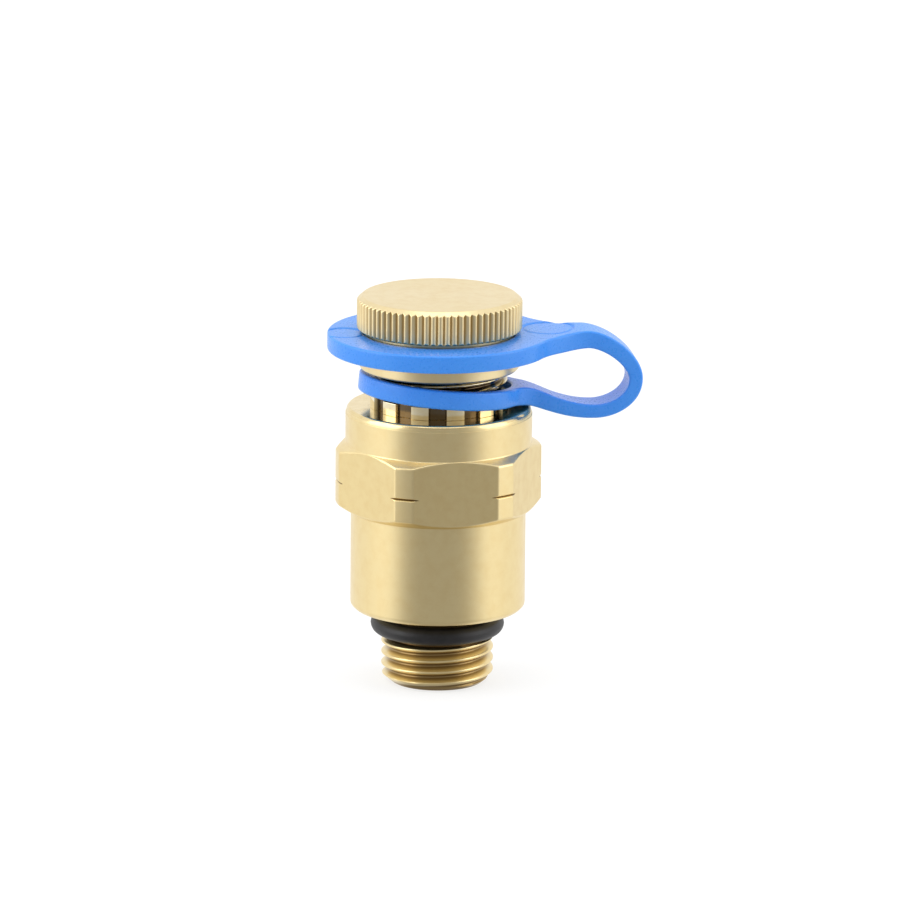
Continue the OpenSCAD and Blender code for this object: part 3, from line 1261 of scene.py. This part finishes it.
@dataclass
class Strap:
    """The one moulded strap: ring round the cap, loop, and ring round the neck.

    It is drawn as two sheets, one on each side of its middle surface, and the walls between them. A sheet
    stands off the middle surface by half the thickness, less what the rounded edge takes off: with e the
    edge's radius and d the distance from the edge, e minus the root of e squared minus (e - d) squared.
    """

    head: StrapRing = StrapRing(
        middle_z=40.89,
        hole_r=8.9,
        rim_r=13.09,
        thickness=2.08,
        root_r=9.0,
        flat_rows=36,
        root_rows=64,
        side_columns=100,
        back_columns=68,
    )
    foot: StrapRing = StrapRing(
        middle_z=35.35, hole_r=8.3, rim_r=9.4, thickness=2.2, root_r=4.0, tilt=5.4, roll=2.6
    )
    edge: float = 0.28
    # How far a ring's straight lead-out goes on beyond its rim
    lead: float = 0.15
    marks: tuple[Mark, ...] = (Mark(x=-11.2, y=0.3, radius=2.4), Mark(x=12.87, y=0.7, radius=3.0))
    # The loop between the two roots, from the foot's side to the head's
    loop: tuple[Station, ...] = (
        Station(13.2, 33.3, -19, 1.85),
        Station(18.1, 32.4, 0, 1.6, 0.38),
        Station(22.94, 36.2, 90, 1.6, 0.3),
        Station(17.0, 41.1, 180, 2.1),
    )
    # Heights on the axis of two planes that lean with the foot ring: below the first the strap follows
    # its foot, above the second its head
    stretch_from: float = 36.65
    stretch_to: float = 38.4

    def stations(self) -> list[Station]:
        """The loop's stations with a straight lead-out from each ring."""
        head, foot = self.head, self.foot
        foot_xs = [foot.rim_r * math.cos(foot.corner), foot.rim_r + self.lead]
        leads = [Station(x, foot.height(x), -foot.tilt, foot.thickness) for x in foot_xs]
        head_xs = [head.rim_r + self.lead, head.rim_r * math.cos(head.corner)]
        ends = [Station(x, head.middle_z, 180, head.thickness) for x in head_xs]
        return [*leads, *self.loop, *ends]

    def path(self) -> FloatArray:
        """The middle line, sampled finely.

        Between two stations it is the cubic curve whose handles are the station's fullness times their
        distance long: (1-u)^3 a + 3 (1-u)^2 u b + 3 (1-u) u^2 c + u^3 d.

        Returns:
            Rows of x, z, unit heading in x and z, thickness and arc length.
        """
        stations = self.stations()
        ends = np.array([[s.x, s.z] for s in stations])
        turn = np.radians([s.heading for s in stations])
        aim = np.stack([np.cos(turn), np.sin(turn)], axis=1)
        thick = np.array([s.thickness for s in stations])
        full = np.array([s.fullness for s in stations])[:-1]
        handle = (full * np.linalg.norm(np.diff(ends, axis=0), axis=1))[:, None, None]
        u = np.linspace(0, 1, 80, endpoint=False)[None, :, None]
        a, d = ends[:-1, None], ends[1:, None]
        b, c = a + handle * aim[:-1, None], d - handle * aim[1:, None]
        spots = (1 - u) ** 3 * a + 3 * (1 - u) ** 2 * u * b + 3 * (1 - u) * u**2 * c + u**3 * d
        thickness = thick[:-1, None] + np.diff(thick)[:, None] * u[..., 0]
        spots = np.concatenate([spots.reshape(-1, 2), ends[-1:]])
        thickness = np.append(thickness.ravel(), thick[-1])
        step = np.gradient(spots, axis=0)
        heading = step / np.linalg.norm(step, axis=1, keepdims=True)
        heading[0], heading[-1] = aim[0], aim[-1]
        length = np.append(0, np.cumsum(np.linalg.norm(np.diff(spots, axis=0), axis=1)))
        return np.column_stack([spots, heading, thickness, length])

    def spread(self) -> FloatArray:
        """Columns across the strap from -1 to 1, closer over the rounded edges."""
        rounding = 1 - 0.22 * (1 - np.cos(np.radians(np.linspace(0, 90, 9))))
        middle = np.linspace(0, rounding[-1], 36)[:-1]
        half = np.concatenate([middle, rounding[::-1]])
        return np.concatenate([-half[:0:-1], half])

    def stand_off(self, thickness: FloatArray, distance: FloatArray, recess: FloatArray) -> FloatArray:
        """How far a sheet stands off the middle surface.

        Args:
            thickness: The strap's thickness.
            distance: Distance from the nearest edge.
            recess: Depth of the mould's marks.

        Returns:
            Half the thickness, less the rounding at the edge and the marks.
        """
        left = self.edge - np.clip(distance, 0, self.edge)
        rounded = np.sqrt(self.edge**2 - left**2)
        return thickness / 2 - self.edge + rounded - recess * rounded / self.edge

    def recess(self, x: FloatArray, y: FloatArray) -> FloatArray:
        """Depth of the mould's marks on the head ring's upper side.

        Args:
            x: Places along X.
            y: Places along Y.

        Returns:
            Depths, 0 outside the marks.
        """
        return np.sum([mark.recess(x, y) for mark in self.marks], axis=0)

    def ring_patches(self, ring: StrapRing, up: tuple[float, float]) -> list[Patch]:
        """The two sheets, the hole's wall and the rim's wall of a ring.

        Args:
            ring: The ring in plan.
            up: Direction in x and z in which the first sheet stands off.

        Returns:
            Four patches.
        """
        root = np.arcsin(self.spread() * math.sin(ring.corner))
        back_from, back_to = math.pi - ring.back_angle, math.pi + ring.back_angle
        near = np.linspace(ring.corner, back_from, ring.side_columns)
        back = np.linspace(back_from, back_to, ring.back_columns)
        far = np.linspace(back_to, FULL_TURN - ring.corner, ring.side_columns)
        rest = np.concatenate([near[1:-1], back, far[1:-1]])
        angles = np.concatenate([root, rest])
        rounding = self.edge * (1 - np.cos(np.radians(np.linspace(0, 90, 7))))
        flat = np.linspace(ring.hole_r + self.edge, ring.rim_r - self.edge, ring.flat_rows)[1:-1]
        radii = np.concatenate([ring.hole_r + rounding, flat, (ring.rim_r - rounding)[::-1]])
        x = radii[:, None] * np.cos(angles)
        y = radii[:, None] * np.sin(angles)
        hole = radii[:, None] - ring.hole_r + np.zeros_like(x)
        distance = np.minimum(hole, ring.edge_distance(x, y))
        recess = self.recess(x, y) if ring is self.head else np.zeros_like(x)
        sheets = [
            self.lifted(x, y, ring.height(x, y), up, sign * self.stand_off(ring.thickness, distance, gone))
            for sign, gone in ((1, np.zeros_like(x)), (-1, recess))
        ]
        wall = (ring.thickness / 2 - self.edge) * np.linspace(-1, 1, 4)[:, None]
        walls = []
        rim_angles = np.concatenate([root[-1:], rest, root[:1]])
        for radius, span in ((ring.hole_r, angles), (ring.rim_r, rim_angles)):
            edge_x = radius * np.cos(span) + np.zeros_like(wall)
            edge_y = radius * np.sin(span) + np.zeros_like(wall)
            walls.append(self.lifted(edge_x, edge_y, ring.height(edge_x, edge_y), up, wall))
        return [Patch(sheets[0]), Patch(sheets[1]), Patch(walls[0]), Patch(walls[1], wrap=False)]

    @staticmethod
    def lifted(
        x: FloatArray, y: FloatArray, z: FloatArray, up: tuple[Any, Any], height: FloatArray
    ) -> FloatArray:
        """Points at a height above the middle surface.

        Args:
            x: Places along X on the middle surface.
            y: Places along Y.
            z: Places along Z.
            up: Direction of the height in x and z.
            height: Heights.

        Returns:
            Points with a last axis of 3.
        """
        return np.stack(np.broadcast_arrays(x + up[0] * height, y, z + up[1] * height), axis=-1)

    def band_patches(self) -> list[Patch]:
        """The two sheets and two walls of the loop.

        The first and last rows lie on the rings' rims. Each row in between is bowed by what is left of that
        arc, and the places along the path come from the row's x by interpolation.

        Returns:
            Four patches.
        """
        path = self.path()
        length = path[:, 5]
        tip = int(np.argmax(path[:, 0]))
        spread = self.spread()
        rows, half_widths = [], []
        for ring, branch in ((self.foot, path[: tip + 1]), (self.head, path[tip:][::-1])):
            start = ring.rim_r * math.cos(ring.corner)
            edge_x = np.linspace(start, ring.reach, ring.root_rows)
            half = ring.half_width(edge_x)
            first_half = ring.rim_r * math.sin(ring.corner)
            bow = np.sqrt(ring.rim_r**2 - (first_half * spread) ** 2) - start
            fade = 1 - smooth_step(edge_x, start, ring.reach)
            x = edge_x[:, None] + fade[:, None] * bow
            rows.append(np.interp(x, branch[:, 0], branch[:, 5]))
            half_widths.append(half)
        plane = path[:, 1] + self.foot.lean[0] * path[:, 0]
        lower, upper = rows[0][-1, 0], rows[1][-1, 0]
        outer = (length > length[np.argmin(plane)]) & (length < upper)
        stretch = np.interp([self.stretch_from - 0.2, self.stretch_to + 0.2], plane[outer], length[outer])
        middle = np.concatenate(
            [
                np.linspace(lower, stretch[0], 52)[1:-1],
                np.linspace(stretch[0], stretch[1], 26)[:-1],
                np.linspace(stretch[1], upper, 52)[:-1],
            ]
        )
        place = np.concatenate([rows[0], middle[:, None] + np.zeros_like(spread), rows[1][::-1]])
        straight = np.full(len(middle), self.foot.strap_half)
        half = np.concatenate([half_widths[0], straight, half_widths[1][::-1]])[:, None]
        x, z, aim_x, aim_z, thickness = (np.interp(place, length, path[:, i]) for i in range(5))
        y = half * spread
        up = (-aim_z, aim_x)
        foot_side = place < length[tip]
        # The foot ring's roll is gone at the loop's tip
        rolled = np.where(foot_side, 1 - smooth_step(x, self.foot.reach, path[tip, 0]), 0.0)
        z = z - self.foot.lean[1] * y * rolled
        distance = np.where(foot_side, self.foot.edge_distance(x, y), self.head.edge_distance(x, y))
        recess = np.where(foot_side, 0.0, self.recess(x, y))
        sheets = [
            self.lifted(x, y, z, up, sign * self.stand_off(thickness, distance, gone))
            for sign, gone in ((1, np.zeros_like(x)), (-1, recess))
        ]
        walls = []
        for column in (0, -1):
            reach = (thickness[:, column] / 2 - self.edge) * np.linspace(-1, 1, 4)[:, None]
            at = (v[:, column] + np.zeros_like(reach) for v in (x, y, z))
            walls.append(self.lifted(*at, (up[0][:, column], up[1][:, column]), reach))
        return [Patch(grid, wrap=False) for grid in (*sheets, *walls)]

    def build(self) -> bpy.types.Object:
        """Builds, dresses and mounts the strap.

        Returns:
            The finished object, bending between the strap's two bodies.
        """
        tilt = math.radians(self.foot.tilt)
        patches = [
            *self.ring_patches(self.foot, (math.sin(tilt), math.cos(tilt))),
            *self.ring_patches(self.head, (0.0, -1.0)),
            *self.band_patches(),
        ]
        strap = make_piece("strap_moulded", patches)
        strap.data.materials.append(POLYETHYLENE.make())
        lean_x, lean_y = self.foot.lean
        span = (self.stretch_to - self.stretch_from) / (1 + lean_x**2 + lean_y**2)
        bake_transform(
            strap,
            Body.STRAP_TAIL.value,
            Body.STRAP_HEAD.value,
            start=(0.0, 0.0, self.stretch_from * MM),
            end=(lean_x * span * MM, lean_y * span * MM, (self.stretch_from + span) * MM),
        )
        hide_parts("strap_top", "strap_foot")
        return strap


@dataclass
class InnerPieces:
    """The seal cores, spacer, washer and gasket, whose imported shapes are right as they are."""

    rubber: tuple[str, ...] = ("lower_core", "upper_core", "cap_gasket")
    brass: tuple[str, ...] = ("core_spacer", "thrust_washer")

    def dress(self) -> None:
        """Gives each piece its finish in place of its plain colour."""
        ring_brass = INNER_BRASS.make()
        finishes = [(name, RUBBER) for name in self.rubber] + [(name, ring_brass) for name in self.brass]
        for name, material in finishes:
            piece = frame["nodes"][name]
            piece.data.materials.clear()
            piece.data.materials.append(material)
            log.info("%s keeps its packed shape, in %s", name, material.name)


# ---- Studio ----


@dataclass(frozen=True)
class Softbox:
    """A large diffused lamp on a circle round the object."""

    name: str
    # Direction in plan: 0 is in front, along -Y, and positive is to the right
    azimuth: float
    elevation: float
    distance: float
    width: float
    height: float
    # Brightness of its face, where 1 is white
    level: float

    def build(self) -> None:
        """Adds the lamp. Its power is its level times pi times its area."""
        lamp = bpy.data.lights.new(self.name, "AREA")
        lamp.shape = "RECTANGLE"
        lamp.size, lamp.size_y = self.width, self.height
        lamp.energy = self.level * math.pi * self.width * self.height
        holder = bpy.data.objects.new(self.name, lamp)
        bpy.context.scene.collection.objects.link(holder)
        side, lift = math.radians(self.azimuth), math.radians(self.elevation)
        away = Vector((math.sin(side) * math.cos(lift), -math.cos(side) * math.cos(lift), math.sin(lift)))
        holder.location = away * self.distance + Vector((0, 0, Studio.middle_z * MM))
        holder.rotation_euler = (-away).to_track_quat("-Z", "Y").to_euler()


@dataclass
class Studio:
    """A white table with a softbox on each side, and the dimmer room behind the camera."""

    # Camera: place round the object and the point that it looks at
    azimuth: float = -7.0
    distance: float = 978.0
    height: float = 266.7
    middle_z: float = 27.7
    aim_right: float = 1.33
    roll: float = 0.45
    lens: float = 344.3
    sensor: float = 36.0
    # Light that the world gives matt surfaces
    fill: float = 1.0
    # The room behind the camera: its brightness, and how far round it reaches
    room_level: float = 0.42
    room_radius: float = 2.4
    room_half_angle: float = 66.0
    room_full_angle: float = 20.0
    floor_size: float = 6.0
    floor_gap: float = 0.02
    # What the table adds of its own to the camera, so that only a shadow is darker than white
    floor_glow: float = 0.72
    softboxes: tuple[Softbox, ...] = (
        Softbox("softbox_left", azimuth=-82, elevation=22, distance=1.1, width=0.9, height=1.1, level=1.5),
        Softbox("softbox_right", azimuth=70, elevation=22, distance=1.2, width=0.8, height=1.1, level=1.1),
        Softbox("softbox_top", azimuth=0, elevation=86, distance=1.3, width=1.0, height=1.0, level=0.9),
    )

    def any_ray(self, add: AddNode, *kinds: Rays) -> bpy.types.NodeSocket:
        """A socket that is 1 for the given kinds of ray and 0 for all others.

        Args:
            add: Adds nodes to the tree that needs the socket.
            *kinds: Kinds of ray.

        Returns:
            The socket.
        """
        path = add("LightPath")
        found = path.outputs[kinds[0].value]
        for kind in kinds[1:]:
            found = add("Math", {0: found, 1: path.outputs[kind.value]}, operation="MAXIMUM").outputs[0]
        return found

    def build_camera(self) -> None:
        """Adds the camera and makes it the scene's."""
        side = math.radians(self.azimuth)
        place = Vector((math.sin(side) * self.distance, -math.cos(side) * self.distance, self.height)) * MM
        right = Vector((math.cos(side), math.sin(side), 0))
        target = (right * self.aim_right + Vector((0, 0, self.middle_z))) * MM
        camera = bpy.data.cameras.new("camera")
        camera.lens, camera.sensor_width = self.lens, self.sensor
        camera.clip_end = 100.0
        holder = bpy.data.objects.new("camera", camera)
        bpy.context.scene.collection.objects.link(holder)
        look = (target - place).to_track_quat("-Z", "Y")
        look = look @ Quaternion((0, 0, 1), math.radians(self.roll))
        holder.matrix_world = Matrix.LocRotScale(place, look, None)
        bpy.context.scene.camera = holder

    def build_world(self) -> None:
        """Makes the world white to the camera and in reflections, and a softer fill to matt surfaces."""
        world = bpy.data.worlds.new("studio")
        world.use_nodes = True
        world.node_tree.nodes.clear()
        add = partial(add_node, world.node_tree)
        seen = self.any_ray(add, Rays.CAMERA, Rays.GLOSSY, Rays.TRANSMISSION)
        fill = add("Background", {"Color": (1, 1, 1, 1), "Strength": self.fill})
        white = add("Background", {"Color": (1, 1, 1, 1), "Strength": 1.0})
        both = add("MixShader", {0: seen, 1: fill.outputs[0], 2: white.outputs[0]})
        add("OutputWorld", {"Surface": both.outputs[0]})
        bpy.context.scene.world = world

    def room_brightness(self, add: AddNode) -> bpy.types.NodeSocket:
        """A socket with the brightness that a point shows in reflections.

        It is the room's level in the camera's direction and rises to white at the room's ends.

        Args:
            add: Adds nodes to the tree that needs the socket.

        Returns:
            The socket.
        """
        middle = math.radians(self.azimuth - 90)
        place = add("TexCoord").outputs["Object"]
        flat = add("VectorMath", {0: place, 1: (1.0, 1.0, 0.0)}, operation="MULTIPLY").outputs["Vector"]
        outwards = add("VectorMath", {0: flat}, operation="NORMALIZE").outputs["Vector"]
        facing = add(
            "VectorMath", {0: outwards, 1: (math.cos(middle), math.sin(middle), 0.0)}, operation="DOT_PRODUCT"
        ).outputs["Value"]
        limits = {
            "Value": facing,
            "From Min": math.cos(math.radians(self.room_half_angle)),
            "From Max": math.cos(math.radians(self.room_full_angle)),
            "To Min": 1.0,
            "To Max": self.room_level,
        }
        ramp = add("MapRange", limits, interpolation_type="SMOOTHSTEP")
        return ramp.outputs["Result"]

    def build_floor(self) -> None:
        """Adds the table top.

        To the camera it is white with the object's shadow left on it, in reflections it mirrors the room,
        and to matt surfaces it is plain pale laminate.
        """
        half = self.floor_size / 2 / MM
        xs, ys = np.meshgrid(np.array([-half, half]), np.array([-half, half]))
        floor = make_piece("floor", [Patch(np.stack([xs, ys, np.full_like(xs, -self.floor_gap)], -1), False)])
        material, add = new_material("Table top, white laminate")
        matt = add("BsdfDiffuse", {"Color": linear("#D8D8D8")}).outputs[0]
        shaded = add("BsdfDiffuse", {"Color": linear("#9A9A9A")})
        glow = add("Emission", {"Color": (1, 1, 1, 1), "Strength": self.floor_glow})
        pale = add("AddShader", {0: shaded.outputs[0], 1: glow.outputs[0]}).outputs[0]
        mirrored = add("Emission", {"Color": (1, 1, 1, 1), "Strength": self.room_brightness(add)}).outputs[0]
        shiny = self.any_ray(add, Rays.GLOSSY, Rays.TRANSMISSION)
        unseen = add("MixShader", {0: shiny, 1: matt, 2: mirrored}).outputs[0]
        seen = self.any_ray(add, Rays.CAMERA)
        both = add("MixShader", {0: seen, 1: unseen, 2: pale})
        add("OutputMaterial", {"Surface": both.outputs[0]})
        floor.data.materials.append(material)

    def build_room(self) -> None:
        """Adds the dimmer room behind the camera, a curved wall that only light and reflections meet."""
        middle, half = math.radians(self.azimuth - 90), math.radians(self.room_half_angle)
        angles = np.linspace(middle - half, middle + half, 65)
        heights = np.linspace(-0.2, 3.2, 5)[:, None]
        radius = self.room_radius
        grid = np.stack(
            np.broadcast_arrays(radius * np.cos(angles), radius * np.sin(angles), heights), axis=-1
        )
        room = make_piece("room", [Patch(grid / MM, wrap=False)])
        material, add = new_material("Room behind the camera")
        bright = self.any_ray(add, Rays.GLOSSY, Rays.TRANSMISSION)
        dimmer = add("MapRange", {"Value": bright, "To Min": self.fill}).outputs["Result"]
        level = self.room_brightness(add)
        strength = add("Math", {0: level, 1: dimmer}, operation="MULTIPLY").outputs[0]
        glow = add("Emission", {"Color": (1, 1, 1, 1), "Strength": strength})
        clear = add("BsdfTransparent")
        both = add("MixShader", {0: self.any_ray(add, Rays.CAMERA), 1: glow.outputs[0], 2: clear.outputs[0]})
        add("OutputMaterial", {"Surface": both.outputs[0]})
        room.data.materials.append(material)

    def build(self) -> None:
        """Adds the camera, the lamps, the world, the table and the room."""
        bpy.context.scene.view_settings.view_transform = "Standard"
        self.build_camera()
        self.build_world()
        self.build_floor()
        self.build_room()
        for softbox in self.softboxes:
            softbox.build()


RUBBER = EPDM.make()


def main() -> None:
    logging.basicConfig(level=logging.INFO, format="%(name)s: %(message)s")
    Studio().build()
    for assembly in (ValveBody(), ORing(), NeedleGuide(), Cap(), Strap()):
        piece = assembly.build()
        report(piece, ", ".join(body_of(piece)))
    InnerPieces().dress()


if __name__ == "__main__":
    main()
